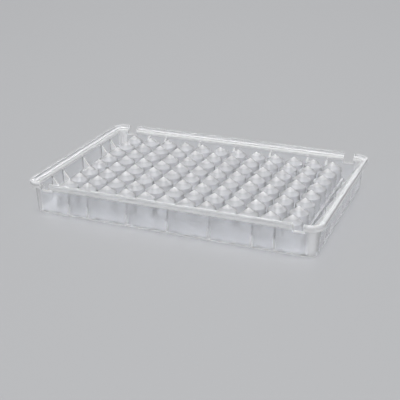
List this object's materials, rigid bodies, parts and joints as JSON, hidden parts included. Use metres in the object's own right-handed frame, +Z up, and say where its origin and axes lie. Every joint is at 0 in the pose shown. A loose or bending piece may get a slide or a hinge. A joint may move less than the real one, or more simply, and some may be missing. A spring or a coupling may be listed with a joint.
{
  "type": "well plate",
  "caption": "Shallow rectangular moulded tray of many small round V-bottom wells inside a ribbed skirt with a notched footprint flange, lying upside down.",
  "frame": {"origin": "middle of the plate at the height of the well mouths, which is the plane the upside-down plate rests on", "axes": "+X along the long side of the plate, +Y across it, +Z up, from the well mouths to the well tips and the footprint flange"},
  "size_m": [0.1278, 0.0854, 0.015],
  "materials": {
    "natural_polypropylene": "milky translucent, semi-gloss as moulded"
  },
  "bodies": {
    "root": {"well_plate": "natural_polypropylene"}
  },
  "joints": []
}
